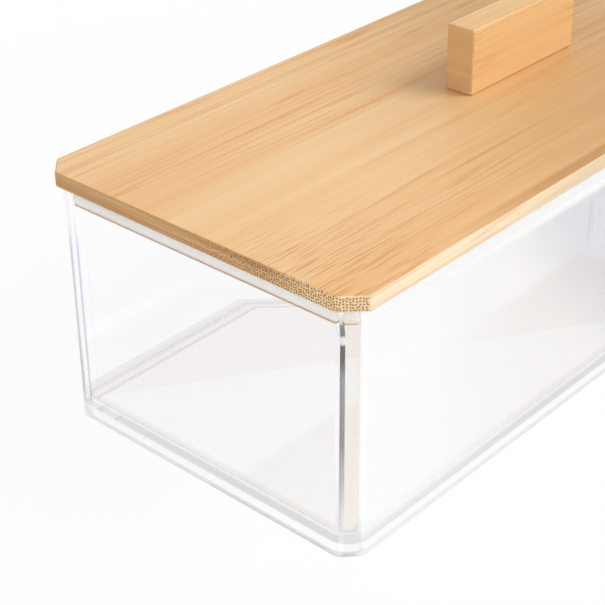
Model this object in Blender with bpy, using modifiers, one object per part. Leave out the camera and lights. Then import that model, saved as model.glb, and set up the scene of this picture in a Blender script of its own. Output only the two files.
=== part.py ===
# Clear storage box with a lift-off bamboo lid, built in metres with +Z up.
# The origin is on the table, under the middle of the box. X runs along the length.
import math

import bmesh
import bpy
from mathutils import Vector

# Lid board, the size that everything else is set in from
LID_LENGTH = 0.250
LID_WIDTH = 0.100
LID_THICKNESS = 0.00415
LID_CORNER_CUT = 0.0053
LID_EDGE_RADIUS = 0.0006

# Clear moulded body
BODY_HEIGHT = 0.0675
RIM_INSET = 0.0011
RIM_EDGE_RADIUS = 0.0003
FLARE_REACH = 0.00055
FLARE_HEIGHT = 0.0087
WALL_THICKNESS = 0.0031
FLOOR_THICKNESS = 0.0027
FLOOR_FILLET = 0.0014
BASE_EDGE_RADIUS = 0.0006
FOOT_HEIGHT = 0.0024
FOOT_WIDTH = 0.0026
FOOT_TAPER = 0.0004
BODY_CORNER_CUT = 0.0048
BODY_CORNER_RADIUS = 0.0022
BODY_INNER_RADIUS = 0.0006

# Plug under the lid, with the neck that the seal ring sits round
PLUG_THICKNESS = 0.0051
PLUG_LIP_HEIGHT = 0.0006
PLUG_CLEARANCE = 0.0005
PLUG_CORNER_RADIUS = 0.0012
PLUG_EDGE_RADIUS = 0.0002

# Seal ring
SEAL_THICKNESS = 0.0020
SEAL_RIB_REACH = 0.0005
SEAL_RIB_COUNT = 2
SEAL_CORNER_RADIUS = 0.0014

# Handle bar and the two screws that hold it from below
HANDLE_LENGTH = 0.047
HANDLE_WIDTH = 0.0087
HANDLE_HEIGHT = 0.0180
HANDLE_EDGE_RADIUS = 0.0006
SCREW_FROM_END = 0.0085
SCREW_DIAMETER = 0.0032
SCREW_HEAD_DIAMETER = 0.0064
SCREW_HEAD_RIM = 0.0004
SCREW_LENGTH = 0.0180
SCREW_POINT = 0.0030

# Gap kept between pieces that touch, and how far a cutter runs past a face
SEAT_GAP = 0.0003
CUT_OVERRUN = 0.0010

# Counts of facets
CORNER_STEPS = 4
FILLET_STEPS = 5
FLARE_STEPS = 6
RIB_STEPS = 4
SCREW_STEPS = 24

# A section set in by one length loses this share of that length from its corner cut
CUT_LOSS_SHARE = 2 - math.sqrt(2)
# Rounding at both ends of a corner cut may use up to this share of the cut
ROUNDING_SHARE = 0.8
# A corner cut never falls under this share of the section's half width
LEAST_CUT_SHARE = 0.005
# Bevels are true arcs at this share of their full shape range
ARC_SHARE = 0.5

# Sizes that follow from the ones above
WALL_INSET = RIM_INSET + FLARE_REACH
WALL_INNER_INSET = WALL_INSET + WALL_THICKNESS
FLOOR_TOP = FOOT_HEIGHT + FLOOR_THICKNESS
LID_UNDERSIDE = BODY_HEIGHT + SEAT_GAP
LID_TOP = LID_UNDERSIDE + LID_THICKNESS
PLUG_TOP = LID_UNDERSIDE - SEAT_GAP
PLUG_UNDERSIDE = PLUG_TOP - PLUG_THICKNESS
SEAL_OUTER_INSET = WALL_INNER_INSET + SEAT_GAP
SEAL_INNER_INSET = SEAL_OUTER_INSET + SEAL_THICKNESS
SEAL_UNDERSIDE = PLUG_UNDERSIDE + PLUG_LIP_HEIGHT + SEAT_GAP
SEAL_HEIGHT = PLUG_TOP - SEAL_UNDERSIDE
NECK_INSET = SEAL_INNER_INSET + SEAT_GAP
LIP_INSET = WALL_INNER_INSET + PLUG_CLEARANCE
HANDLE_UNDERSIDE = LID_TOP + SEAT_GAP
SCREW_HEAD_FACE = PLUG_UNDERSIDE + SEAT_GAP
SCREW_OUT = HANDLE_LENGTH / 2 - SCREW_FROM_END


def clear_scene():
    for old in list(bpy.data.objects):
        bpy.data.objects.remove(old, do_unlink=True)


def new_collection(name):
    collection = bpy.data.collections.new(name)
    bpy.context.scene.collection.children.link(collection)
    return collection


def make_material(name, colour, roughness, metallic=0.0, transmission=0.0):
    material = bpy.data.materials.new(name)
    material.use_nodes = True
    shader = material.node_tree.nodes["Principled BSDF"]
    shader.inputs["Base Color"].default_value = (*colour, 1.0)
    shader.inputs["Roughness"].default_value = roughness
    shader.inputs["Metallic"].default_value = metallic
    shader.inputs["Transmission Weight"].default_value = transmission
    return material


def add_object(name, mesh, collection, material=None):
    piece = bpy.data.objects.new(name, mesh)
    collection.objects.link(piece)
    if material:
        mesh.materials.append(material)
    return piece


def shade(mesh, degrees=30):
    mesh.shade_smooth()
    mesh.set_sharp_from_angle(angle=math.radians(degrees))


def cut_at(inset):
    """Corner cut of the body's outline where it is set in from the lid's edge."""
    half_width = LID_WIDTH / 2 - inset
    cut = BODY_CORNER_CUT - (inset - RIM_INSET) * CUT_LOSS_SHARE
    return max(cut, half_width * LEAST_CUT_SHARE)


def outline(inset, cut, radius):
    """Points round a rectangle with cut corners, each end of a cut rounded off."""
    x = LID_LENGTH / 2 - inset
    y = LID_WIDTH / 2 - inset
    corners = [
        Vector((x, cut - y)), Vector((x, y - cut)), Vector((x - cut, y)), Vector((cut - x, y)),
        Vector((-x, y - cut)), Vector((-x, cut - y)), Vector((cut - x, -y)), Vector((x - cut, -y)),
    ]
    turn = math.tau / len(corners)
    most = cut * math.sqrt(2) / 2 / math.tan(turn / 2)
    radius = min(radius, most * ROUNDING_SHARE)
    points = []
    for index, corner in enumerate(corners):
        arriving = (corner - corners[index - 1]).normalized()
        inward = Vector((-arriving.y, arriving.x))
        centre = corner - arriving * radius * math.tan(turn / 2) + inward * radius
        for step in range(CORNER_STEPS + 1):
            angle = turn * step / CORNER_STEPS
            across = -inward * math.cos(angle) + arriving * math.sin(angle)
            points.append(centre + across * radius)
    return points


def quarter_turn(centre_inset, centre_height, radius, start, steps=FILLET_STEPS):
    """Profile points, as inset and height, over 90 degrees of arc; angle 0 points inwards."""
    points = []
    for step in range(steps + 1):
        angle = math.radians(start + 90 * step / steps)
        points.append((centre_inset + radius * math.cos(angle), centre_height + radius * math.sin(angle)))
    return points


def faces_between(bm, ring, first):
    """Join the last ring of a closed profile to the first one."""
    for i in range(len(ring)):
        bm.faces.new((ring[i - 1], ring[i], first[i], first[i - 1]))


def loft(name, profile, radius_of, closed=False):
    """Extrude an outline from section to section of a profile, into a closed mesh."""
    bm = bmesh.new()
    sections = [
        [Vector((p.x, p.y, height)) for p in outline(inset, cut_at(inset), radius_of(inset))]
        for inset, height in profile
    ]
    first = ring = [bm.verts.new(point) for point in sections[0]]
    first_edges = edges = [bm.edges.new((ring[i - 1], ring[i])) for i in range(len(ring))]
    for section in sections[1:]:
        grown = bmesh.ops.extrude_edge_only(bm, edges=edges)["geom"]
        edges = [part for part in grown if isinstance(part, bmesh.types.BMEdge)]
        added = {part for part in grown if isinstance(part, bmesh.types.BMVert)}
        ring = [next(e.other_vert(v) for e in v.link_edges if e.other_vert(v) in added) for v in ring]
        for vert, point in zip(ring, section):
            vert.co = point
    if closed:
        faces_between(bm, ring, first)
    else:
        bmesh.ops.contextual_create(bm, geom=first_edges)
        bmesh.ops.contextual_create(bm, geom=edges)
    bmesh.ops.recalc_face_normals(bm, faces=bm.faces)
    mesh = bpy.data.meshes.new(name)
    bm.to_mesh(mesh)
    bm.free()
    shade(mesh)
    return mesh


def body_profile():
    """Once round the body's wall, from under the floor, up the outside and down the inside."""
    foot_outer = WALL_INSET + BASE_EDGE_RADIUS
    foot_inner = foot_outer + FOOT_WIDTH
    wall_top = BODY_HEIGHT - FLARE_HEIGHT
    points = [(foot_inner + FOOT_TAPER, FOOT_HEIGHT), (foot_inner, 0.0)]
    base = quarter_turn(foot_outer, BASE_EDGE_RADIUS, BASE_EDGE_RADIUS, 180)
    points += reversed(base)
    for step in range(FLARE_STEPS + 1):
        share = step / FLARE_STEPS
        reach = FLARE_REACH * (1 - math.cos(math.pi / 2 * share))
        top = BODY_HEIGHT - RIM_EDGE_RADIUS
        points.append((WALL_INSET - reach, wall_top + (top - wall_top) * share))
    points.append((RIM_INSET + RIM_EDGE_RADIUS, BODY_HEIGHT))
    points.append((WALL_INNER_INSET - RIM_EDGE_RADIUS, BODY_HEIGHT))
    points.append((WALL_INNER_INSET, BODY_HEIGHT - RIM_EDGE_RADIUS))
    fillet_centre = WALL_INNER_INSET + FLOOR_FILLET
    points += quarter_turn(fillet_centre, FLOOR_TOP + FLOOR_FILLET, FLOOR_FILLET, 180)
    return points


def build_body(collection, material):
    def radius_of(inset):
        return BODY_CORNER_RADIUS if inset < WALL_INNER_INSET - RIM_EDGE_RADIUS else BODY_INNER_RADIUS

    mesh = loft("box_body", body_profile(), radius_of)
    return add_object("box_body", mesh, collection, material)


def build_lid_board(collection, material, lift):
    """A flat outline with cut corners, given its thickness and a small arris all round."""
    half = LID_THICKNESS / 2
    flat = bpy.data.curves.new("lid_board", "CURVE")
    flat.dimensions = "2D"
    flat.fill_mode = "BOTH"
    flat.extrude = half
    x = LID_LENGTH / 2
    y = LID_WIDTH / 2
    cut = LID_CORNER_CUT
    corners = [(x, cut - y), (x, y - cut), (x - cut, y), (cut - x, y)]
    corners += [(-px, -py) for px, py in corners]
    spline = flat.splines.new("POLY")
    spline.points.add(len(corners) - 1)
    for point, (px, py) in zip(spline.points, corners):
        point.co = (px, py, 0.0, 1.0)
    spline.use_cyclic_u = True
    drawn = add_object("lid_board_outline", flat, collection)
    graph = bpy.context.evaluated_depsgraph_get()
    mesh = bpy.data.meshes.new_from_object(drawn.evaluated_get(graph))
    bpy.data.objects.remove(drawn, do_unlink=True)
    bm = bmesh.new()
    bm.from_mesh(mesh)
    bmesh.ops.remove_doubles(bm, verts=bm.verts, dist=LID_EDGE_RADIUS / 10)
    bmesh.ops.dissolve_limit(bm, angle_limit=math.radians(1), verts=bm.verts, edges=bm.edges)
    bmesh.ops.bevel(bm, geom=bm.edges[:], offset=LID_EDGE_RADIUS, offset_type="OFFSET", segments=2,
                    profile=ARC_SHARE, affect="EDGES", clamp_overlap=True, material=-1)
    bmesh.ops.recalc_face_normals(bm, faces=bm.faces)
    bm.to_mesh(mesh)
    bm.free()
    shade(mesh)
    board = add_object("lid_board", mesh, collection, material)
    board.parent = lift
    board.location.z = LID_UNDERSIDE + half - lift.location.z
    return board


def build_plug(collection, material, lift):
    """The thinner board under the lid, waisted into a neck above its lip."""
    edge = PLUG_EDGE_RADIUS
    lip_top = PLUG_LIP_HEIGHT
    profile = [
        (LIP_INSET + edge, 0.0), (LIP_INSET, edge), (LIP_INSET, lip_top - edge), (LIP_INSET + edge, lip_top),
        (NECK_INSET, lip_top), (NECK_INSET, PLUG_THICKNESS),
    ]
    mesh = loft("lid_plug", profile, lambda inset: PLUG_CORNER_RADIUS)
    plug = add_object("lid_plug", mesh, collection, material)
    plug.parent = lift
    plug.location.z = PLUG_UNDERSIDE - lift.location.z
    return plug


def build_seal(collection, material, lift):
    """A ring of soft rubber with ribs that press on the inside of the rim."""
    rib_pitch = SEAL_HEIGHT / SEAL_RIB_COUNT
    profile = [(SEAL_INNER_INSET, 0.0)]
    for rib in range(SEAL_RIB_COUNT):
        for step in range(RIB_STEPS + 1):
            share = step / RIB_STEPS
            if rib and not step:
                continue
            reach = SEAL_RIB_REACH * math.sin(math.pi * share)
            profile.append((SEAL_OUTER_INSET + SEAL_RIB_REACH - reach, rib_pitch * (rib + share)))
    profile.append((SEAL_INNER_INSET, SEAL_HEIGHT))
    mesh = loft("seal_ring", profile, lambda inset: SEAL_CORNER_RADIUS, closed=True)
    seal = add_object("seal_ring", mesh, collection, material)
    seal.parent = lift
    seal.location.z = SEAL_UNDERSIDE - lift.location.z
    return seal


def build_handle(collection, material, lift):
    bm = bmesh.new()
    bmesh.ops.create_cube(bm, size=1.0)
    bmesh.ops.scale(bm, vec=(HANDLE_LENGTH, HANDLE_WIDTH, HANDLE_HEIGHT), verts=bm.verts)
    bmesh.ops.translate(bm, vec=(0.0, 0.0, HANDLE_HEIGHT / 2), verts=bm.verts)
    bmesh.ops.bevel(bm, geom=bm.edges[:], offset=HANDLE_EDGE_RADIUS, offset_type="OFFSET", segments=3,
                    profile=ARC_SHARE, affect="EDGES", clamp_overlap=True, material=-1)
    mesh = bpy.data.meshes.new("handle_bar")
    bm.to_mesh(mesh)
    bm.free()
    shade(mesh)
    handle = add_object("handle_bar", mesh, collection, material)
    handle.parent = lift
    handle.location.z = HANDLE_UNDERSIDE - lift.location.z
    return handle


def turned_mesh(name, profile):
    """A half section in the XZ plane, for a Screw modifier to turn round Z."""
    bm = bmesh.new()
    verts = [bm.verts.new((radius, 0.0, height)) for radius, height in profile]
    for first, second in zip(verts, verts[1:]):
        bm.edges.new((first, second))
    mesh = bpy.data.meshes.new(name)
    bm.to_mesh(mesh)
    bm.free()
    return mesh


def turn(piece):
    turning = piece.modifiers.new("turned", "SCREW")
    turning.axis = "Z"
    turning.angle = math.tau
    turning.steps = SCREW_STEPS
    turning.render_steps = SCREW_STEPS
    turning.use_merge_vertices = True
    turning.merge_threshold = SEAT_GAP / 30
    turning.use_smooth_shade = True


def screw_profile(grown, below):
    """Countersunk wood screw, tip up, with its head face at height zero."""
    shank = SCREW_DIAMETER / 2 + grown
    head = SCREW_HEAD_DIAMETER / 2 + grown
    cone = head - shank
    return [
        (0.0, SCREW_LENGTH + grown), (shank, SCREW_LENGTH - SCREW_POINT), (shank, SCREW_HEAD_RIM + cone),
        (head, SCREW_HEAD_RIM), (head, -below), (0.0, -below),
    ]


def build_screws(collection, cutters, material, lift, held):
    """Two screws on the handle's centre line, and the holes that they need."""
    screw_mesh = turned_mesh("handle_screw", screw_profile(0.0, 0.0))
    screw_mesh.materials.append(material)
    hole_mesh = turned_mesh("screw_hole", screw_profile(SEAT_GAP, SEAT_GAP + CUT_OVERRUN))
    for number, side in enumerate((-1, 1), start=1):
        screw = add_object(f"handle_screw_{number}", screw_mesh, collection)
        hole = add_object(f"screw_hole_{number}", hole_mesh, cutters)
        hole.hide_render = True
        hole.display_type = "WIRE"
        for turned in (screw, hole):
            turned.parent = lift
            turned.location = (side * SCREW_OUT, 0.0, SCREW_HEAD_FACE - lift.location.z)
            turn(turned)
        for piece in held:
            drilled = piece.modifiers.new(f"screw_hole_{number}", "BOOLEAN")
            drilled.operation = "DIFFERENCE"
            drilled.solver = "EXACT"
            drilled.object = hole


def build():
    clear_scene()
    collection = new_collection("storage_box")
    cutters = new_collection("cutters")
    clear_plastic = make_material("clear_plastic", (0.93, 0.95, 0.97), 0.04, transmission=0.9)
    bamboo_face = make_material("bamboo_face", (0.80, 0.55, 0.30), 0.45)
    bamboo_plug = make_material("bamboo_plug", (0.72, 0.46, 0.22), 0.5)
    bamboo_handle = make_material("bamboo_handle", (0.78, 0.54, 0.30), 0.45)
    seal_rubber = make_material("seal_rubber", (0.80, 0.80, 0.78), 0.55)
    screw_steel = make_material("screw_steel", (0.62, 0.62, 0.60), 0.35, metallic=1.0)

    lift = bpy.data.objects.new("lid_lift", None)
    lift.location.z = BODY_HEIGHT
    collection.objects.link(lift)

    build_body(collection, clear_plastic)
    board = build_lid_board(collection, bamboo_face, lift)
    plug = build_plug(collection, bamboo_plug, lift)
    build_seal(collection, seal_rubber, lift)
    handle = build_handle(collection, bamboo_handle, lift)
    build_screws(collection, cutters, screw_steel, lift, (board, plug, handle))


build()
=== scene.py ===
# Clear storage box with a lift-off bamboo lid: looks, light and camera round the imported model.
import math

import bmesh
import bpy
from mathutils import Matrix, Vector


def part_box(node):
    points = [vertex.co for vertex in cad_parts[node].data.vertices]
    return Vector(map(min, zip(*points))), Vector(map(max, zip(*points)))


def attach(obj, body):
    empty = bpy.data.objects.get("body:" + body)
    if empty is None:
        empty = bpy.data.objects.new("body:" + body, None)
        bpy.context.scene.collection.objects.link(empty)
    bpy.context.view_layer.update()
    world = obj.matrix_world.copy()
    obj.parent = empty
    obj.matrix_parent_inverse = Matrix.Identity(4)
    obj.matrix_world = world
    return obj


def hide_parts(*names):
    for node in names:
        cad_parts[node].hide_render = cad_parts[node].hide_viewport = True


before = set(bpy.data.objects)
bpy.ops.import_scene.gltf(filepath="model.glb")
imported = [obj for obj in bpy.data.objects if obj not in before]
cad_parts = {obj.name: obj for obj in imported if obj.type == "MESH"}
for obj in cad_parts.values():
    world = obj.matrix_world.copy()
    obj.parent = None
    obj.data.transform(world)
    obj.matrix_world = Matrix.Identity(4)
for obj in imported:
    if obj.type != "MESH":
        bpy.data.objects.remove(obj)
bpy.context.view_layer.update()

mm = 0.001
slant = math.tan(math.radians(22.5))  # how far a rounding slides along the side when its side moves in by one
arc = 0.5  # bevel profile of a true arc
cutShrink = 2 - math.sqrt(2)  # how much shorter a cut corner gets when the sides move in by one
weld = 0.01 * mm  # points as close as this count as one
fineWeld = 0.001 * mm


# small helpers for node trees
def addNode(tree, kind, feeds=None, **settings):
    made = tree.nodes.new("ShaderNode" + kind)
    for name, value in settings.items():
        setattr(made, name, value)
    for socket, source in (feeds or {}).items():
        if isinstance(source, bpy.types.NodeSocket):
            tree.links.new(source, made.inputs[socket])
        else:
            made.inputs[socket].default_value = source
    return made


def maths(tree, operation, a, b=0.0, c=0.0, clamp=False):
    feeds = {0: a, 1: b}
    if operation == "MULTIPLY_ADD":
        feeds[2] = c
    return addNode(tree, "Math", feeds, operation=operation, use_clamp=clamp).outputs[0]


def ramp(tree, value, low, high, toLow=0.0, toHigh=1.0):
    feeds = {"Value": value, "From Min": low, "From Max": high, "To Min": toLow, "To Max": toHigh}
    return addNode(tree, "MapRange", feeds, interpolation_type="SMOOTHSTEP").outputs["Result"]


def blendColours(tree, share, first, second, way="MIX"):
    mixer = addNode(tree, "Mix", data_type="RGBA", blend_type=way)
    for socket, source in ((0, share), (6, first), (7, second)):
        if isinstance(source, bpy.types.NodeSocket):
            tree.links.new(source, mixer.inputs[socket])
        else:
            mixer.inputs[socket].default_value = source
    return mixer.outputs[2]


def noise(tree, position, detail=2.0, roughness=0.5, scale=1.0):
    feeds = {"Vector": position, "Scale": scale, "Detail": detail, "Roughness": roughness}
    return addNode(tree, "TexNoise", feeds).outputs[0]


def newGroup(name, inputs, outputs):
    tree = bpy.data.node_groups.new(name, "ShaderNodeTree")
    for label, kind, value in inputs:
        socket = tree.interface.new_socket(label, in_out="INPUT", socket_type="NodeSocket" + kind)
        if value is not None:
            socket.default_value = value
    for label, kind in outputs:
        tree.interface.new_socket(label, in_out="OUTPUT", socket_type="NodeSocket" + kind)
    return tree, tree.nodes.new("NodeGroupInput").outputs, tree.nodes.new("NodeGroupOutput").inputs


def srgb(red, green, blue):
    def linear(part):
        part /= 255
        return part / 12.92 if part <= 0.04045 else ((part + 0.055) / 1.055) ** 2.4
    return (linear(red), linear(green), linear(blue), 1.0)


def separate(tree, vector):
    return addNode(tree, "SeparateXYZ", {0: vector}).outputs


# a soft step between two places in mm
def fade(tree, place, reach, toLow=0.0, toHigh=1.0):
    return ramp(tree, place, reach[0] * mm, reach[1] * mm, toLow, toHigh)


# 1 between two places in mm, with soft ends
def band(tree, place, low, high, soft):
    rise = fade(tree, place, (low - soft, low))
    return maths(tree, "MULTIPLY", rise, fade(tree, place, (high, high + soft), 1.0, 0.0))


# 1 in the middle of each Voronoi cell, falling to 0
def cells(tree, position, reach, randomness):
    made = addNode(tree, "TexVoronoi", {"Vector": position, "Scale": 1.0, "Randomness": randomness},
                   feature="F1", voronoi_dimensions="2D")
    return ramp(tree, made.outputs["Distance"], *reach, 1.0, 0.0)


# thin lines where a slow noise crosses its middle
def crossings(tree, position, thickness):
    away = maths(tree, "ABSOLUTE", maths(tree, "SUBTRACT", noise(tree, position, detail=1.5), 0.5))
    return ramp(tree, away, 0.0, thickness, 1.0, 0.0)


# cells per metre along, across and up the wood, and where each pattern starts
bambooPatterns = {
    "bands": ((2.6, 58.0, 58.0), (0.0, 0.0, 0.0)), "strips": ((8.0, 330.0, 330.0), (0.0, 0.0, 0.0)),
    "fine": ((26.0, 1500.0, 1500.0), (0.0, 0.0, 0.0)), "patches": ((12.0, 60.0, 60.0), (3.0, 1.0, 0.0)),
    "wideLines": ((3.6, 190.0, 190.0), (0.3, 0.0, 0.0)), "thinLines": ((6.0, 420.0, 420.0), (1.7, 0.4, 0.0)),
    "dashes": ((48.0, 1350.0, 1.0), (0.0, 0.0, 0.0)), "layers": ((8.0, 14.0, 620.0), (0.0, 0.0, 0.0)),
    "dots": ((1420.0, 1420.0, 1.0), (0.0, 0.0, 0.0)),
}
bambooLook = {
    # parts of the normal from which a face counts as an end or as a long side
    "endFacing": (0.50, 0.62), "sideFacing": (0.25, 0.55),
    # range of each noise, and its share of the tone
    "bands": (0.34, 0.68), "bandTone": 0.5, "strips": (0.3, 0.72), "stripTone": 0.3, "fineTone": 0.3, "toneDrop": 0.1,
    "patches": (0.32, 0.6), "wide": 0.018, "wideShare": 0.42, "thin": 0.03, "thinShare": 0.36,
    "dash": (0.08, 0.33), "dashScatter": 0.95, "dashShare": 0.82,
    "layers": (0.3, 0.62), "layerShare": (0.5, 1.0), "sideTint": 0.1,
    "dot": (0.22, 0.37), "dotScatter": 0.5, "dotShare": (0.92, 0.8),  # on the ends and on the cut corners
    "boardEnd": 125.0, "cornerSlope": -0.414,  # the measure across follows the cut corners by this
    "dashAcross": (0.4, 1.9), "layerAcross": (1.2, 2.1), "dotAcross": (-0.8, 2.0),
    # places in mm and colours of the darker strip and of the painted shade
    "stripY": (-47.2, -45.8), "stripX": (-95.0, -45.0), "strip": (0.80, 0.71, 0.58, 1.0),
    "farX": (-85.0, 30.0), "farLean": -0.35, "far": (0.70, 0.65, 0.54, 1.0),
    # satin lacquer, a little duller on some strips, with a fine relief whose depth is in mm
    "dullStrips": (0.2, 0.8), "dull": (0.40, 0.56), "specular": 0.35,
    "grainHeight": 0.5, "pitDepth": 0.4, "bump": 0.06, "bumpShare": 0.5,
}


def stretched(tree, position, pattern):
    scale, start = bambooPatterns[pattern]
    return addNode(tree, "Mapping", {"Vector": position, "Scale": scale, "Location": start}).outputs[0]


# 0 at the side where the dashes and dots are sparse, and 1 where they are dense
def denseAcross(tree, given, place):
    reach = maths(tree, "SUBTRACT", given["Dense Full"], given["Dense Start"])
    return maths(tree, "DIVIDE", maths(tree, "SUBTRACT", place["Y"], given["Dense Start"]), reach)


# long thin lines, patchy along the board
def longLines(tree, position):
    look = bambooLook
    patchy = ramp(tree, noise(tree, stretched(tree, position, "patches")), *look["patches"])
    wide = crossings(tree, stretched(tree, position, "wideLines"), look["wide"])
    thin = crossings(tree, stretched(tree, position, "thinLines"), look["thin"])
    lines = maths(tree, "MAXIMUM", maths(tree, "MULTIPLY", wide, look["wideShare"]),
                  maths(tree, "MULTIPLY", thin, look["thinShare"]))
    return maths(tree, "MULTIPLY", lines, patchy)


# short dashes where the knife crosses the bundles, thickest at the end by the dense side
def shortDashes(tree, given, place, across):
    look = bambooLook
    fromEnd = maths(tree, "ADD", place["X"], look["boardEnd"] * mm)
    endDense = ramp(tree, fromEnd, 0.0, given["Dash Reach"], 1.0, 0.0)
    dense = maths(tree, "MULTIPLY", ramp(tree, across, *look["dashAcross"]), endDense)
    dense = maths(tree, "MAXIMUM", dense, given["Dash Least"])
    dashes = cells(tree, stretched(tree, given["Position"], "dashes"), look["dash"], look["dashScatter"])
    return maths(tree, "MULTIPLY", dashes, maths(tree, "MULTIPLY", dense, look["dashShare"]))


# the bundles in the cut ends; their measure across also follows the cut corners
def endDots(tree, place):
    look = bambooLook
    slope = maths(tree, "MULTIPLY", maths(tree, "SIGN", place["Y"]), look["cornerSlope"])
    shorter = maths(tree, "SUBTRACT", maths(tree, "ABSOLUTE", place["X"]), look["boardEnd"] * mm)
    along = maths(tree, "MULTIPLY_ADD", slope, shorter, place["Y"])
    flat = addNode(tree, "CombineXYZ", {0: along, 1: place["Z"]}).outputs[0]
    return cells(tree, stretched(tree, flat, "dots"), look["dot"], look["dotScatter"])


# the cut ends: layers across the thickness, and bundles as dark dots
def endGrain(tree, given, across, sideMask, dots):
    look = bambooLook
    layers = noise(tree, stretched(tree, given["Position"], "layers"))
    layerShare = maths(tree, "MULTIPLY", ramp(tree, layers, *look["layers"], *look["layerShare"]),
                       given["Layer Share"])
    colour = blendColours(tree, layerShare, given["End"], given["Layer"])
    colour = blendColours(tree, ramp(tree, across, *look["layerAcross"]), colour, given["End"])
    # the cut corners take a little of the painted highlight of the long sides
    colour = blendColours(tree, maths(tree, "MULTIPLY", sideMask, look["sideTint"]), colour, given["Side"])
    dense = maths(tree, "MAXIMUM", ramp(tree, across, *look["dotAcross"]), given["Dot Least"])
    dense = maths(tree, "MULTIPLY", dense, ramp(tree, sideMask, 0.0, 1.0, *look["dotShare"]))
    return blendColours(tree, maths(tree, "MULTIPLY", dots, dense), colour, given["Fibre"])


# one darker strip beside the near long edge, and a painted shade that deepens towards the middle of the board
def shadeBoard(tree, given, place, sideMask, colour):
    look = bambooLook
    strip = maths(tree, "MULTIPLY", fade(tree, place["Y"], look["stripY"], 1.0, 0.0),
                  fade(tree, place["X"], look["stripX"]))
    strip = maths(tree, "MULTIPLY", strip, maths(tree, "SUBTRACT", given["Far Shade"], sideMask, clamp=True))
    colour = blendColours(tree, strip, colour, look["strip"], "MULTIPLY")
    leaning = maths(tree, "MULTIPLY_ADD", place["Y"], look["farLean"], place["X"])
    far = maths(tree, "MULTIPLY", fade(tree, leaning, look["farX"]), given["Far Shade"])
    return blendColours(tree, far, colour, look["far"], "MULTIPLY")


# the fibres run along X, so the top shows lines and dashes and the ends show dots; places in metres
def makeBambooGroup():
    look = bambooLook
    tree, given, out = newGroup("bambooGrain", [
        ("Position", "Vector", None), ("Normal", "Vector", None),
        ("Pale", "Color", srgb(250, 211, 159)), ("Deep", "Color", srgb(241, 187, 127)),
        ("Line", "Color", srgb(212, 132, 66)), ("End", "Color", srgb(237, 201, 150)),
        ("Layer", "Color", srgb(194, 142, 86)), ("Layer Share", "Float", 1.0),
        ("Fibre", "Color", srgb(74, 34, 12)), ("Side", "Color", srgb(248, 229, 197)),
        ("Side Share", "Float", 0.0), ("Dense Start", "Float", 0.006), ("Dense Full", "Float", -0.016),
        ("Dash Reach", "Float", 0.055), ("Dash Least", "Float", 0.04), ("Dot Least", "Float", 0.15),
        ("Far Shade", "Float", 0.0),
    ], [("Color", "Color"), ("Roughness", "Float"), ("Height", "Float")])
    position = given["Position"]
    place = separate(tree, position)
    facing = separate(tree, given["Normal"])
    endMask = ramp(tree, maths(tree, "ABSOLUTE", facing["X"]), *look["endFacing"])
    sideMask = ramp(tree, maths(tree, "ABSOLUTE", facing["Y"]), *look["sideFacing"])

    bands = noise(tree, stretched(tree, position, "bands"))
    strips = noise(tree, stretched(tree, position, "strips"), detail=3.0, roughness=0.6)
    fine = noise(tree, stretched(tree, position, "fine"))
    tone = maths(tree, "MULTIPLY_ADD", ramp(tree, bands, *look["bands"]), look["bandTone"],
                 maths(tree, "MULTIPLY", ramp(tree, strips, *look["strips"]), look["stripTone"]))
    tone = maths(tree, "SUBTRACT", tone, look["toneDrop"])
    tone = maths(tree, "MULTIPLY_ADD", fine, look["fineTone"], tone, clamp=True)
    colour = blendColours(tree, tone, given["Pale"], given["Deep"])
    # painted highlight: faces turned towards the long sides, and their rounded edges, are blended towards a pale
    # cream
    colour = blendColours(tree, maths(tree, "MULTIPLY", sideMask, given["Side Share"]), colour, given["Side"])
    colour = blendColours(tree, longLines(tree, position), colour, given["Line"])

    across = denseAcross(tree, given, place)
    dashes = shortDashes(tree, given, place, across)
    onTop = maths(tree, "SUBTRACT", 1.0, maths(tree, "MAXIMUM", endMask, sideMask))
    colour = blendColours(tree, maths(tree, "MULTIPLY", dashes, onTop), colour, given["Line"])
    dots = endDots(tree, place)
    colour = blendColours(tree, endMask, colour, endGrain(tree, given, across, sideMask, dots))
    colour = shadeBoard(tree, given, place, sideMask, colour)

    tree.links.new(colour, out["Color"])
    tree.links.new(ramp(tree, strips, *look["dullStrips"], *look["dull"]), out["Roughness"])
    pits = maths(tree, "MAXIMUM", dashes, maths(tree, "MULTIPLY", dots, endMask))
    height = maths(tree, "SUBTRACT", maths(tree, "MULTIPLY", fine, look["grainHeight"]),
                   maths(tree, "MULTIPLY", pits, look["pitDepth"]))
    tree.links.new(height, out["Height"])
    return tree


# moulded plastic, rubber and metal: slow waviness with fine handling marks; sizes in metres
def makeSurfaceGroup():
    tree, given, out = newGroup("surfaceMarks", [
        ("Position", "Vector", None), ("Wave Size", "Float", 0.03), ("Grain Size", "Float", 0.0006),
        ("Grain Share", "Float", 0.1), ("Smooth", "Float", 0.02), ("Dull", "Float", 0.08),
    ], [("Roughness", "Float"), ("Height", "Float"), ("Mask", "Float")])
    wave = noise(tree, given["Position"], 1.0, 0.4, maths(tree, "DIVIDE", 1.0, given["Wave Size"]))
    grain = noise(tree, given["Position"], 3.0, 0.6, maths(tree, "DIVIDE", 1.0, given["Grain Size"]))
    worn = ramp(tree, wave, 0.35, 0.75)
    spread = maths(tree, "SUBTRACT", given["Dull"], given["Smooth"])
    tree.links.new(maths(tree, "MULTIPLY_ADD", worn, spread, given["Smooth"]), out["Roughness"])
    tree.links.new(maths(tree, "MULTIPLY_ADD", grain, given["Grain Share"], wave), out["Height"])
    tree.links.new(worn, out["Mask"])
    return tree


bambooGroup = makeBambooGroup()
surfaceGroup = makeSurfaceGroup()


def newMaterial(name):
    material = bpy.data.materials.new(name)
    material.use_nodes = True
    tree = material.node_tree
    tree.nodes.clear()
    shader = addNode(tree, "BsdfPrincipled")
    output = addNode(tree, "OutputMaterial", {"Surface": shader.outputs[0]})
    return material, tree, shader, output


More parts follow.
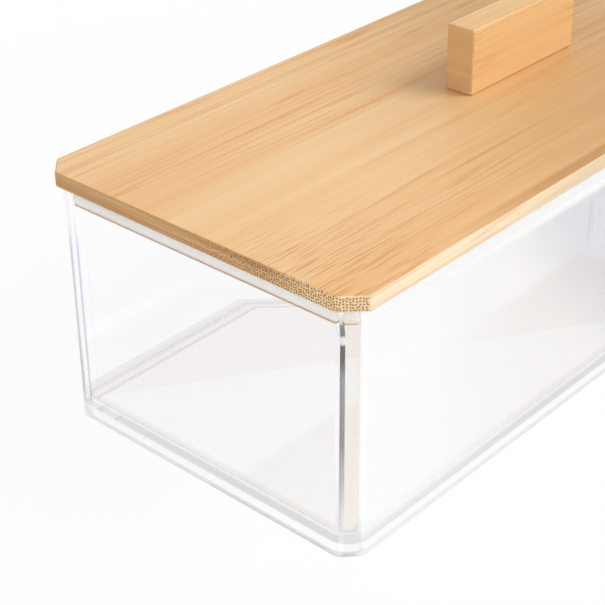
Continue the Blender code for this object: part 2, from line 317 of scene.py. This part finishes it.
def addBump(tree, shader, height, look):
    bump = addNode(tree, "Bump", {"Height": height, "Distance": look["bump"] * mm, "Strength": look["bumpShare"]})
    tree.links.new(bump.outputs[0], shader.inputs["Normal"])


def makeBamboo(name, shift=(0.0, 0.0, 0.0), **values):
    material, tree, shader, _ = newMaterial(name)
    place = addNode(tree, "TexCoord")
    moved = addNode(tree, "Mapping", {"Vector": place.outputs["Object"], "Location": shift})
    grain = addNode(tree, "Group", node_tree=bambooGroup)
    tree.links.new(moved.outputs[0], grain.inputs["Position"])
    tree.links.new(place.outputs["Normal"], grain.inputs["Normal"])
    for label, value in values.items():
        grain.inputs[label.replace("_", " ")].default_value = value
    tree.links.new(grain.outputs["Color"], shader.inputs["Base Color"])
    tree.links.new(grain.outputs["Roughness"], shader.inputs["Roughness"])
    shader.inputs["Specular IOR Level"].default_value = bambooLook["specular"]
    addBump(tree, shader, grain.outputs["Height"], bambooLook)
    return material


# roughness and bump of a finish with the shared surface marks, and back comes its tint
def addMarks(tree, shader, place, look):
    marks = addNode(tree, "Group", {"Position": place, **look["marks"]}, node_tree=surfaceGroup)
    tree.links.new(marks.outputs["Roughness"], shader.inputs["Roughness"])
    addBump(tree, shader, marks.outputs["Height"], look)
    return blendColours(tree, marks.outputs["Mask"], look["fresh"], look["worn"])


# places in mm: a pair is where a soft step starts and ends, and a third number how wide the soft ends of a band are
plasticLook = {
    "marks": {"Wave Size": 0.05, "Smooth": 0.01, "Grain Share": 0.0, "Dull": 0.025}, "bump": 0.02, "bumpShare": 0.3,
    "fresh": (1.0, 1.0, 1.0, 1.0), "worn": (0.985, 0.99, 1.0, 1.0), "ior": 1.49,
    # painted shade: the floor plate is tinted a little darker, for the floor under the lid seen through it
    "plate": (0.96, 0.955, 0.955, 1.0), "plateZ": (5.4, 6.4),
    # painted shade: a darker line along the floor's edge where it meets the walls
    "floorEdge": (0.78, 0.75, 0.72, 1.0), "edgeX": (116.6, 118.4), "edgeY": (41.6, 43.4), "edgeZ": (4.8, 6.4, 0.4),
    # painted shadow: the floor is a little darker on the far side of a line from one corner
    "shade": (0.90, 0.845, 0.82, 1.0), "shadeSlope": 0.66, "shadeX": (-36.9, -35.1), "shadeZ": (4.9, 5.3, 0.2),
    # painted light and reflection on the near long side: a white glow washes it out at its near end, and a painted
    # grey reflection darkens it on the way up to its middle
    "nearFaceY": (-48.1, -47.4), "grey": (0.66, 0.68, 0.76, 1.0), "greyRise": 0.9, "greyX": (-20.0, 14.0),
    "greyStopX": (-15.0, 40.0), "white": (0.99, 0.99, 1.0, 1.0), "washed": 0.85, "washedX": (-112.0, -40.0),
    "footWashed": 0.35, "footWashedZ": (3.0, 11.0), "rimWashed": 0.75, "rimZ": (60.5, 63.0),
    # painted shade: the dark line in each cut corner, with its brightness at each height
    "lineX": 121.0, "lineY": (44.3, 45.0, 0.15), "lineTop": 67.5,
    "lineLevels": [(6, 1.0), (17, 0.49), (32, 0.11), (50, 0.13), (54, 0.03), (58.5, 0.02), (59.2, 0.9), (60.4, 0.9),
                   (61.2, 0.06), (63.9, 0.08), (64.4, 0.55)],
    "cream": (0.93, 0.88, 0.83, 1.0), "creamX": (119.0, 120.0), "creamY": (44.9, 45.2),
    # painted reflections: two faint upright lines beside the far corners
    "uprightX": (122.8, 123.0), "uprightZ": (10.0, 50.0, 9.0),
    "uprights": [((42.7, 43.6, 0.2), (0.42, 0.48, 0.50, 1.0)), ((40.2, 40.8, 0.2), (0.50, 0.53, 0.76, 1.0))],
    # painted light for the light that is caught between the walls, by where it comes out, a painted shade line along
    # the foot, and the ray depths from which the caught light counts
    "caught": srgb(231, 231, 234), "caughtNear": (1.0, 1.0, 1.0, 1.0), "nearSideY": (-46.2, -45.2), "nearShare": 0.75,
    "caughtLow": srgb(243, 241, 239), "raisedZ": (9.0, 14.0), "caughtFar": srgb(244, 246, 249),
    "farSideY": (44.0, 45.0), "footLine": srgb(204, 204, 211), "footShare": 0.6, "footZ": (0.2, 0.4),
    "glossyDepth": 3.5, "rayDepth": 9.5, "through": (0.93, 0.94, 0.95, 1.0),
}


# painted shade: the dark line that each cut corner shows beside its end wall, and the pale cut next to it
def tintCorners(tree, where, tint):
    look = plasticLook
    levels = addNode(tree, "ValToRGB", {0: maths(tree, "MULTIPLY", where["Z"], 1 / (look["lineTop"] * mm))})
    stops = levels.color_ramp.elements
    stops[0].position = 0.0
    stops[0].color = (1.0, 1.0, 1.0, 1.0)
    for height, grey in look["lineLevels"]:
        stops.new(height / look["lineTop"]).color = (grey, grey, grey, 1.0)
    across = maths(tree, "ABSOLUTE", where["Y"])
    along = maths(tree, "ABSOLUTE", where["X"])
    line = maths(tree, "MULTIPLY", band(tree, across, *look["lineY"]),
                 maths(tree, "GREATER_THAN", along, look["lineX"] * mm))
    cut = maths(tree, "MULTIPLY", fade(tree, across, look["creamY"]), fade(tree, along, look["creamX"]))
    tint = blendColours(tree, cut, tint, look["cream"])
    return blendColours(tree, line, tint, levels.outputs["Color"])


def tintFloor(tree, where, tint):
    look = plasticLook
    # painted shade: the floor plate is tinted a little darker
    tint = blendColours(tree, fade(tree, where["Z"], look["plateZ"], 1.0, 0.0), tint, look["plate"])
    # painted shade: a darker line along the floor's edge where it meets the walls
    edgeX = fade(tree, maths(tree, "ABSOLUTE", where["X"]), look["edgeX"])
    edgeY = fade(tree, maths(tree, "ABSOLUTE", where["Y"]), look["edgeY"])
    edge = maths(tree, "MULTIPLY", band(tree, where["Z"], *look["edgeZ"]), maths(tree, "MAXIMUM", edgeX, edgeY))
    tint = blendColours(tree, edge, tint, look["floorEdge"])
    # painted shadow on the far side of a line from one corner
    slanted = maths(tree, "MULTIPLY_ADD", where["X"], look["shadeSlope"], where["Y"])
    shaded = maths(tree, "MULTIPLY", fade(tree, slanted, look["shadeX"]), band(tree, where["Z"], *look["shadeZ"]))
    return blendColours(tree, shaded, tint, look["shade"])


def tintWalls(tree, where, nearFace, nearRim, tint):
    look = plasticLook
    # painted reflection: a grey that rises along the near long side up to its middle, kept off its rim
    raisedX = maths(tree, "MULTIPLY_ADD", where["Z"], look["greyRise"], where["X"])
    grey = maths(tree, "MULTIPLY", fade(tree, raisedX, look["greyX"]),
                 fade(tree, where["X"], look["greyStopX"], 1.0, 0.0))
    grey = maths(tree, "MULTIPLY", grey, maths(tree, "SUBTRACT", nearFace, nearRim, clamp=True))
    tint = blendColours(tree, grey, tint, look["grey"])
    tint = tintCorners(tree, where, tint)
    # painted reflections: faint upright lines on the end walls beside the far corners
    upright = maths(tree, "MULTIPLY", fade(tree, maths(tree, "ABSOLUTE", where["X"]), look["uprightX"]),
                    band(tree, where["Z"], *look["uprightZ"]))
    for reach, colour in look["uprights"]:
        faint = maths(tree, "MULTIPLY", upright, band(tree, where["Y"], *reach))
        tint = blendColours(tree, faint, tint, colour)
    return tint


# painted light: light that is caught between the walls comes out as a pale glow, not black, and the foot gets a
# painted grey line
def addCaughtLight(tree, where, rays, surface):
    look = plasticLook
    nearSide = fade(tree, where["Y"], look["nearSideY"], look["nearShare"], 0.0)
    colour = blendColours(tree, nearSide, look["caught"], look["caughtNear"])
    farColour = blendColours(tree, fade(tree, where["Z"], look["raisedZ"]), look["caughtLow"], look["caughtFar"])
    colour = blendColours(tree, fade(tree, where["Y"], look["farSideY"]), colour, farColour)
    # painted shade: a grey glow line along the bottom of the foot, whatever the ray depth
    foot = fade(tree, where["Z"], look["footZ"], look["footShare"], 0.0)
    colour = blendColours(tree, foot, colour, look["footLine"])
    caught = addNode(tree, "Emission", {"Color": colour, "Strength": 1.0})
    late = maths(tree, "MAXIMUM", maths(tree, "GREATER_THAN", rays["Glossy Depth"], look["glossyDepth"]),
                 maths(tree, "GREATER_THAN", rays["Ray Depth"], look["rayDepth"]))
    late = maths(tree, "MAXIMUM", late, foot)
    return addNode(tree, "MixShader", {0: late, 1: surface, 2: caught.outputs[0]}).outputs[0]


# painted light: a white glow washes out the near end of the near long side and the band under its rim
def addWash(tree, where, nearFace, nearRim, surface):
    look = plasticLook
    washed = fade(tree, where["X"], look["washedX"], look["washed"], 0.0)
    washed = maths(tree, "MULTIPLY", washed, fade(tree, where["Z"], look["footWashedZ"], look["footWashed"], 1.0))
    washed = maths(tree, "MAXIMUM", washed, maths(tree, "MULTIPLY", nearRim, look["rimWashed"]))
    washed = maths(tree, "MULTIPLY", washed, nearFace)
    white = addNode(tree, "Emission", {"Color": look["white"], "Strength": 1.0})
    return addNode(tree, "MixShader", {0: washed, 1: surface, 2: white.outputs[0]}).outputs[0]


def makeClearPlastic(name):
    look = plasticLook
    material, tree, shader, output = newMaterial(name)
    material.cycles.emission_sampling = "NONE"
    place = addNode(tree, "TexCoord").outputs["Object"]
    where = separate(tree, place)
    nearFace = fade(tree, where["Y"], look["nearFaceY"], 1.0, 0.0)
    nearRim = fade(tree, where["Z"], look["rimZ"])
    tint = tintFloor(tree, where, addMarks(tree, shader, place, look))
    tint = tintWalls(tree, where, nearFace, nearRim, tint)
    tree.links.new(tint, shader.inputs["Base Color"])
    shader.inputs["IOR"].default_value = look["ior"]
    shader.inputs["Transmission Weight"].default_value = 1.0
    rays = addNode(tree, "LightPath").outputs
    surface = addCaughtLight(tree, where, rays, shader.outputs[0])
    surface = addWash(tree, where, nearFace, nearRim, surface)
    # lamps shine straight through, so the floor inside isn't lost in a hard shadow
    through = addNode(tree, "BsdfTransparent", {"Color": look["through"]})
    pick = addNode(tree, "MixShader", {0: rays["Is Shadow Ray"], 1: surface, 2: through.outputs[0]})
    tree.links.new(pick.outputs[0], output.inputs["Surface"])
    return material


sealLook = {
    "marks": {"Wave Size": 0.012, "Smooth": 0.45, "Dull": 0.6}, "bump": 0.03, "bumpShare": 0.5,
    "fresh": srgb(226, 225, 222), "worn": srgb(220, 219, 215),
    "glow": 0.09, "inside": 0.3, "depths": (0.0015, 0.0014, 0.0013),  # how far in light of each colour gets
}


def makeSealRubber(name):
    material, tree, shader, _ = newMaterial(name)
    tint = addMarks(tree, shader, addNode(tree, "TexCoord").outputs["Object"], sealLook)
    tree.links.new(tint, shader.inputs["Base Color"])
    tree.links.new(tint, shader.inputs["Emission Color"])  # painted light: a faint glow standing in for light passed on from inside the wall
    shader.inputs["Emission Strength"].default_value = sealLook["glow"]
    shader.inputs["Subsurface Weight"].default_value = sealLook["inside"]
    shader.inputs["Subsurface Radius"].default_value = sealLook["depths"]
    return material


steelLook = {
    "marks": {"Wave Size": 0.002, "Grain Size": 0.0003, "Smooth": 0.25, "Dull": 0.45}, "bump": 0.01, "bumpShare": 0.5,
    "fresh": srgb(205, 204, 198), "worn": srgb(178, 176, 168),
}


def makeScrewSteel(name):
    material, tree, shader, _ = newMaterial(name)
    tint = addMarks(tree, shader, addNode(tree, "TexCoord").outputs["Object"], steelLook)
    tree.links.new(tint, shader.inputs["Base Color"])
    shader.inputs["Metallic"].default_value = 1.0
    return material


print("materials")
clearPlastic = makeClearPlastic("clearPlastic")
# the board alone gets the painted highlight on its long sides, the darker strip and the painted shade towards the
# middle
bambooBoard = makeBamboo("bambooBoard", Side_Share=0.85, Far_Shade=1.0)
bambooPlug = makeBamboo("bambooPlug", (0.4, 0.13, 0.0), Pale=srgb(240, 214, 178), Deep=srgb(226, 192, 150),
                        Dense_Start=1.0, Dense_Full=2.0)
bambooHandle = makeBamboo("bambooHandle", (0.7, 0.31, 0.0), Pale=srgb(240, 200, 145), Deep=srgb(232, 182, 120),
                          End=srgb(233, 191, 141), Layer_Share=0.4, Dot_Least=0.06, Dense_Start=1.0, Dense_Full=2.0)
sealRubber = makeSealRubber("sealRubber")
screwSteel = makeScrewSteel("screwSteel")


# a flat face with cut corners, each end of a cut rounded off
def startOutline(bm, length, width, cut, rounding, height, steps=6):
    bmesh.ops.create_grid(bm, x_segments=1, y_segments=1, size=0.5)
    bmesh.ops.scale(bm, vec=(length, width, 1.0), verts=bm.verts)
    bmesh.ops.translate(bm, vec=(0.0, 0.0, height), verts=bm.verts)
    bmesh.ops.bevel(bm, geom=bm.verts[:], offset=cut, offset_type="OFFSET", segments=1, profile=arc,
                    affect="VERTICES", clamp_overlap=False, material=-1)
    if rounding:
        bmesh.ops.bevel(bm, geom=bm.verts[:], offset=rounding * slant, offset_type="OFFSET", segments=steps,
                        profile=arc, affect="VERTICES", clamp_overlap=False, material=-1)
    return bm.faces[:][0]


# the cap is extruded and its straight sides move in, while every rounding keeps its radius
def raiseRing(bm, face, inward, rise):
    grown = bmesh.ops.extrude_face_region(bm, geom=[face])["geom"]
    cap = next(part for part in grown if isinstance(part, bmesh.types.BMFace))
    reachX = max(v.co.x for v in cap.verts)
    reachY = max(v.co.y for v in cap.verts)
    for v in cap.verts:
        nearEnd = reachX - abs(v.co.x) < reachY - abs(v.co.y)
        stepX, stepY = (1.0, slant) if nearEnd else (slant, 1.0)
        v.co.x -= math.copysign(stepX, v.co.x) * inward
        v.co.y -= math.copysign(stepY, v.co.y) * inward
        v.co.z += rise
    if any(len(e.link_faces) > 2 for e in face.edges):  # the old cap would be a wall inside the piece
        bmesh.ops.delete(bm, geom=[face], context="FACES_ONLY")
    return cap


# the profile is a list of insets and heights in mm
def followProfile(bm, face, profile):
    for (inset, height), (nextInset, nextHeight) in zip(profile, profile[1:]):
        face = raiseRing(bm, face, (nextInset - inset) * mm, (nextHeight - height) * mm)
    return face


# insets and heights over 90 degrees of arc; angle 0 points inwards
def arcPoints(inset, height, radius, start, steps=8):
    angles = [math.radians(start + 90 * step / steps) for step in range(steps + 1)]
    return [(inset + radius * math.cos(angle), height + radius * math.sin(angle)) for angle in angles]


def finishPiece(name, bm, finish, body, slotName, *nodes, sharp=35):
    bmesh.ops.recalc_face_normals(bm, faces=bm.faces)
    mesh = bpy.data.meshes.new(name)
    bm.to_mesh(mesh)
    bm.free()
    mesh.shade_smooth()
    mesh.set_sharp_from_angle(angle=math.radians(sharp))
    mesh.materials.append(finish)
    piece = bpy.data.objects.new(name, mesh)
    bpy.context.scene.collection.objects.link(piece)
    level = piece.modifiers.new("flatNormals", "WEIGHTED_NORMAL")
    level.weight = 100
    level.keep_sharp = True
    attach(piece, body)
    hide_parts(*nodes)
    print(f"{name}: {len(mesh.polygons)} faces")


lidLow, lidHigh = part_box("lid_board")
length = lidHigh.x - lidLow.x
width = lidHigh.y - lidLow.y


# the box's outline set in from the lid's edge, with sizes in mm
def outlineAt(bm, inset, height, cut, rounding, steps=6):
    return startOutline(bm, length - 2 * inset * mm, width - 2 * inset * mm, cut * mm, rounding * mm, height * mm,
                        steps)


# clear body
bodyShape = {
    "top": 67.5, "rimInset": 1.1, "rimEdge": 0.3, "rimSteps": 3,
    "flare": 0.55, "flareHeight": 8.7, "flareSteps": 12, "wall": 3.1, "floor": 2.7, "fillet": 1.4,
    "baseEdge": 0.6, "footHeight": 2.4, "footWidth": 2.6, "footTaper": 0.4,
    "cut": 4.8, "rounding": 2.2, "innerRounding": 0.6, "roundingSteps": 8,
}


def bodyCut(inset):
    return bodyShape["cut"] - (inset - bodyShape["rimInset"]) * cutShrink


# each rounding is scaled about the sharp corner that it softens
def tightenRoundings(face, inset, share):
    reachX = length / 2 - inset * mm
    reachY = width / 2 - inset * mm
    cut = bodyCut(inset) * mm
    for v in face.verts:
        nearEnd = reachX - abs(v.co.x) < reachY - abs(v.co.y)
        cornerX, cornerY = (reachX, reachY - cut) if nearEnd else (reachX - cut, reachY)
        v.co.x = math.copysign(cornerX + (abs(v.co.x) - cornerX) * share, v.co.x)
        v.co.y = math.copysign(cornerY + (abs(v.co.y) - cornerY) * share, v.co.y)


def makeBody():
    b = bodyShape
    wallOuter = b["rimInset"] + b["flare"]
    wallInner = wallOuter + b["wall"]
    footOuter = wallOuter + b["baseEdge"]
    footInner = footOuter + b["footWidth"]
    floorTop = b["footHeight"] + b["floor"]
    flareStart = b["top"] - b["flareHeight"]
    outside = [(footInner + b["footTaper"], b["footHeight"]), (footInner, 0.0)]
    outside += reversed(arcPoints(footOuter, b["baseEdge"], b["baseEdge"], 180))
    for step in range(b["flareSteps"] + 1):
        share = step / b["flareSteps"]
        reach = b["flare"] * (1 - math.cos(math.pi / 2 * share))
        outside.append((wallOuter - reach, flareStart + (b["flareHeight"] - b["rimEdge"]) * share))
    rim = (b["top"] - b["rimEdge"], b["rimEdge"])
    outside += reversed(arcPoints(b["rimInset"] + b["rimEdge"], *rim, 90, b["rimSteps"])[:-1])
    inside = list(reversed(arcPoints(wallInner - b["rimEdge"], *rim, 0, b["rimSteps"])))
    inside += arcPoints(wallInner + b["fillet"], floorTop + b["fillet"], b["fillet"], 180)
    bm = bmesh.new()
    face = outlineAt(bm, outside[0][0], outside[0][1], bodyCut(outside[0][0]), b["rounding"], b["roundingSteps"])
    face = followProfile(bm, face, outside)
    face = followProfile(bm, face, [outside[-1], inside[0]])
    tightenRoundings(face, inside[0][0], b["innerRounding"] / b["rounding"])
    followProfile(bm, face, inside)
    finishPiece("clearBody", bm, clearPlastic, "base", "clear_plastic", "box_body")


makeBody()

# lid board
lidShape = {"cut": 5.3, "edge": 0.6, "edgeSteps": 4}


def makeLidBoard():
    bm = bmesh.new()
    face = startOutline(bm, length, width, lidShape["cut"] * mm, 0.0, lidLow.z)
    raiseRing(bm, face, 0.0, lidHigh.z - lidLow.z)
    bmesh.ops.bevel(bm, geom=bm.edges[:], offset=lidShape["edge"] * mm, offset_type="OFFSET",
                    segments=lidShape["edgeSteps"], profile=arc, affect="EDGES", clamp_overlap=True, material=-1)
    finishPiece("lidBoard", bm, bambooBoard, "lid", "bamboo_board", "lid_board")


makeLidBoard()

# plug under the lid, up against the board
plugShape = {
    "lipInset": 5.25, "neckInset": 7.35, "lip": 0.6, "edge": 0.2, "rounding": 1.2, "holeSteps": 32,
    "hole": [(3.5, 0.0), (3.5, 0.7), (1.9, 2.3), (1.9, 4.8)],  # radius and height above the underside
}


# a hole with straight rim, cone and narrow bore under each screw head
def sinkHoles(bm, underside):
    p = plugShape
    rimEdges = underside.edges[:]
    low = underside.verts[0].co.z
    bmesh.ops.delete(bm, geom=[underside], context="FACES_ONLY")
    mouths = []
    for node in ("handle_screw_1", "handle_screw_2"):
        screwLow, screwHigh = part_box(node)
        middle = ((screwLow.x + screwHigh.x) / 2, (screwLow.y + screwHigh.y) / 2, low)
        ring = bmesh.ops.create_circle(bm, cap_ends=False, segments=p["holeSteps"], radius=p["hole"][0][0] * mm,
                                       matrix=Matrix.Translation(middle))["verts"]
        mouths.append((Vector(middle), list({e for v in ring for e in v.link_edges})))
    bmesh.ops.triangle_fill(bm, edges=rimEdges + [e for _, edges in mouths for e in edges], use_beauty=True)
    for middle, edges in mouths:
        for (radius, height), (nextRadius, nextHeight) in zip(p["hole"], p["hole"][1:]):
            grown = bmesh.ops.extrude_edge_only(bm, edges=edges)["geom"]
            edges = [part for part in grown if isinstance(part, bmesh.types.BMEdge)]
            ring = [part for part in grown if isinstance(part, bmesh.types.BMVert)]
            share = nextRadius / radius
            bmesh.ops.scale(bm, vec=(share, share, 1.0), verts=ring, space=Matrix.Translation(-middle))
            bmesh.ops.translate(bm, vec=(0.0, 0.0, (nextHeight - height) * mm), verts=ring)
        bmesh.ops.contextual_create(bm, geom=edges)


def makePlug():
    p = plugShape
    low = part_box("lid_plug")[0].z / mm
    top = lidLow.z / mm
    start = p["lipInset"] + p["edge"]
    profile = [(start, low), (p["lipInset"], low + p["edge"]), (p["lipInset"], low + p["lip"] - p["edge"]),
               (start, low + p["lip"]), (p["neckInset"], low + p["lip"]), (p["neckInset"], top)]
    bm = bmesh.new()
    underside = outlineAt(bm, start, low, bodyCut(start), p["rounding"])
    followProfile(bm, underside, profile)
    sinkHoles(bm, underside)
    finishPiece("lidPlug", bm, bambooPlug, "lid", "bamboo_plug", "lid_plug")


makePlug()

# seal ring with two ribs
sealShape = {"outerInset": 5.05, "thickness": 2.0, "ribReach": 0.5, "ribs": 2, "steps": 8, "rounding": 1.4,
             "overLip": 0.3}  # how far it sits down over the plug's lip


def makeSeal():
    s = sealShape
    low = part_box("lid_plug")[0].z / mm + plugShape["lip"] - s["overLip"]
    top = lidLow.z / mm
    inner = s["outerInset"] + s["thickness"]
    profile = [(inner, low)]
    for rib in range(s["ribs"]):
        for step in range(s["steps"] + 1):
            if rib and not step:
                continue
            share = step / s["steps"]
            reach = s["ribReach"] * math.sin(math.pi * share)
            height = low + (top - low) * (rib + share) / s["ribs"]
            profile.append((s["outerInset"] + s["ribReach"] - reach, height))
    profile += [(inner, top), (inner, low)]
    bm = bmesh.new()
    face = outlineAt(bm, inner, low, bodyCut(inner), s["rounding"])
    last = followProfile(bm, face, profile)
    bmesh.ops.delete(bm, geom=[face, last], context="FACES_ONLY")
    bmesh.ops.remove_doubles(bm, verts=bm.verts, dist=weld)
    finishPiece("sealRing", bm, sealRubber, "lid", "seal_rubber", "seal_ring", sharp=50)


makeSeal()

# handle bar, down on the board
handleShape = {"edge": 0.6, "edgeSteps": 5}


def makeHandle():
    low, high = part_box("handle_bar")
    low.z = lidHigh.z
    bm = bmesh.new()
    bmesh.ops.create_cube(bm, size=1.0)
    bmesh.ops.scale(bm, vec=high - low, verts=bm.verts)
    bmesh.ops.translate(bm, vec=(low + high) / 2, verts=bm.verts)
    bmesh.ops.bevel(bm, geom=bm.edges[:], offset=handleShape["edge"] * mm, offset_type="OFFSET",
                    segments=handleShape["edgeSteps"], profile=arc, affect="EDGES", clamp_overlap=True, material=-1)
    finishPiece("handleBar", bm, bambooHandle, "lid", "bamboo_handle", "handle_bar")


makeHandle()

# two countersunk wood screws, seen from below
screwShape = {
    "head": 6.4, "rim": 0.4, "core": 2.1, "point": 3.0, "steps": 32,
    "thread": 3.2, "pitch": 1.3, "turns": 8, "ridge": 0.35, "sunk": 0.1,  # the ridge's half width and its sunk foot
    "recessLength": 3.6, "recessWidth": 0.9, "recessDepth": 1.2, "recessTaper": 0.55,
}


def addThread(bm, s, tip):
    start = tip - s["point"] - s["pitch"] * s["turns"]
    foot = s["core"] / 2 - s["sunk"]
    ridge = [(foot, start - s["ridge"]), (s["thread"] / 2, start), (foot, start + s["ridge"])]
    corners = [bm.verts.new((across * mm, 0.0, height * mm)) for across, height in ridge]
    bmesh.ops.spin(bm, geom=[bm.faces.new(corners)], cent=(0.0, 0.0, 0.0), axis=(0.0, 0.0, 1.0),
                   dvec=(0.0, 0.0, s["pitch"] * mm / s["steps"]), angle=2 * math.pi * s["turns"],
                   steps=s["steps"] * s["turns"], use_merge=False, use_duplicate=False)


# the cross is cut out of the flat face of the head and pushed in
def sinkCross(bm, s):
    for axis in ((1.0, 0.0, 0.0), (0.0, 1.0, 0.0)):
        for reach in (-s["recessLength"] / 2, -s["recessWidth"] / 2, s["recessWidth"] / 2, s["recessLength"] / 2):
            flat = [f for f in bm.faces if all(abs(v.co.z) < weld for v in f.verts)]
            around = flat + list({e for f in flat for e in f.edges}) + list({v for f in flat for v in f.verts})
            bmesh.ops.bisect_plane(bm, geom=around, dist=fineWeld, plane_no=axis,
                                   plane_co=[part * reach * mm for part in axis])
    half = s["recessWidth"] / 2 * mm
    reach = s["recessLength"] / 2 * mm
    cross = []
    for f in bm.faces:
        middle = f.calc_center_median()
        thin = min(abs(middle.x), abs(middle.y)) < half
        if abs(middle.z) < weld and thin and max(abs(middle.x), abs(middle.y)) < reach:
            cross.append(f)
    grown = bmesh.ops.extrude_face_region(bm, geom=cross)["geom"]
    bmesh.ops.delete(bm, geom=[f for f in cross if f.is_valid], context="FACES_ONLY")
    deep = [v for v in grown if isinstance(v, bmesh.types.BMVert)]
    bmesh.ops.scale(bm, vec=(s["recessTaper"], s["recessTaper"], 1.0), verts=deep)
    bmesh.ops.translate(bm, vec=(0.0, 0.0, s["recessDepth"] * mm), verts=deep)


def makeScrew(node):
    s = screwShape
    low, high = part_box(node)
    tip = (high.z - low.z) / mm
    head = s["head"] / 2
    core = s["core"] / 2
    half = [(0.0, 0.0), (head, 0.0), (head, s["rim"]), (core, s["rim"] + head - core), (core, tip - s["point"]),
            (0.0, tip)]
    bm = bmesh.new()
    corners = [bm.verts.new((across * mm, 0.0, height * mm)) for across, height in half]
    edges = [bm.edges.new(pair) for pair in zip(corners, corners[1:])]
    bmesh.ops.spin(bm, geom=corners + edges, cent=(0.0, 0.0, 0.0), axis=(0.0, 0.0, 1.0), angle=2 * math.pi,
                   steps=s["steps"], use_merge=True, use_duplicate=False)
    bmesh.ops.remove_doubles(bm, verts=bm.verts, dist=fineWeld)
    sinkCross(bm, s)
    addThread(bm, s, tip)
    bmesh.ops.translate(bm, vec=((low.x + high.x) / 2, (low.y + high.y) / 2, low.z), verts=bm.verts)
    finishPiece(node.replace("handle_screw_", "woodScrew"), bm, screwSteel, "lid", "screw_steel", node)


makeScrew("handle_screw_1")
makeScrew("handle_screw_2")

# floor, light and camera
studio = {
    "floorSize": 6.0, "floor": (0.93, 0.93, 0.93, 1.0), "glow": (1.0, 1.0, 1.0, 1.0), "world": 0.5,
    "nearShare": 0.93, "nearReach": 0.10, "farReach": 0.35,  # the floor's glow grows away from the box
    # place, size and power
    "lamps": {"keySoftbox": ((0.42, -0.62, 0.85), 0.6, 7.2), "fillSoftbox": ((-0.60, -0.30, 0.20), 0.35, 1.0)},
}


# 1 for rays that come from the camera, off gloss or through clear plastic
def seenDirectly(tree):
    rays = addNode(tree, "LightPath").outputs
    seen = maths(tree, "MAXIMUM", rays["Is Camera Ray"], rays["Is Glossy Ray"])
    return maths(tree, "MAXIMUM", seen, rays["Is Transmission Ray"])


def makeStudio():
    bm = bmesh.new()
    bmesh.ops.create_grid(bm, x_segments=1, y_segments=1, size=studio["floorSize"] / 2)
    mesh = bpy.data.meshes.new("paleFloor")
    bm.to_mesh(mesh)
    bm.free()
    floor = bpy.data.objects.new("paleFloor", mesh)
    bpy.context.scene.collection.objects.link(floor)
    material, tree, shader, output = newMaterial("paleFloor")
    shader.inputs["Base Color"].default_value = studio["floor"]
    shader.inputs["Roughness"].default_value = 1.0
    glow = addNode(tree, "Emission", {"Color": studio["glow"], "Strength": 1.0})
    away = addNode(tree, "VectorMath", {0: addNode(tree, "TexCoord").outputs["Object"]}, operation="LENGTH")
    share = ramp(tree, away.outputs["Value"], studio["nearReach"], studio["farReach"], studio["nearShare"], 1.0)
    share = maths(tree, "MULTIPLY", seenDirectly(tree), share)
    pick = addNode(tree, "MixShader", {0: share, 1: shader.outputs[0], 2: glow.outputs[0]})
    tree.links.new(pick.outputs[0], output.inputs["Surface"])
    mesh.materials.append(material)

    world = bpy.data.worlds.new("softStudio")
    bpy.context.scene.world = world
    world.use_nodes = True
    tree = world.node_tree
    strength = ramp(tree, seenDirectly(tree), 0.0, 1.0, studio["world"], 1.0)
    tree.links.new(strength, tree.nodes["Background"].inputs["Strength"])
    tree.nodes["Background"].inputs["Color"].default_value = studio["glow"]

    for name, (lampPlace, size, power) in studio["lamps"].items():
        lamp = bpy.data.lights.new(name, "AREA")
        lamp.size = size
        lamp.energy = power
        lampObject = bpy.data.objects.new(name, lamp)
        lampObject.location = lampPlace
        lampObject.rotation_euler = (-Vector(lampPlace)).to_track_quat("-Z", "Y").to_euler()
        bpy.context.scene.collection.objects.link(lampObject)
    bpy.context.scene.view_settings.view_transform = "Standard"


makeStudio()

view = {"place": (-0.343009, -0.231826, 0.243393), "azimuth": 47.979, "elevation": 31.024, "roll": -0.461,
        "lens": 95.37, "sensor": 36.0, "clipStart": 0.01}


def makeCamera():
    lens = bpy.data.cameras.new("photoView")
    lens.lens = view["lens"]
    lens.sensor_width = view["sensor"]
    lens.clip_start = view["clipStart"]
    camera = bpy.data.objects.new("photoView", lens)
    turn = Matrix.Rotation(-math.radians(view["azimuth"]), 4, "Z")
    tilt = Matrix.Rotation(math.radians(90 - view["elevation"]), 4, "X")
    roll = Matrix.Rotation(math.radians(view["roll"]), 4, "Z")
    camera.matrix_world = Matrix.Translation(view["place"]) @ turn @ tilt @ roll
    bpy.context.scene.collection.objects.link(camera)
    bpy.context.scene.camera = camera


makeCamera()
print("studio and camera")
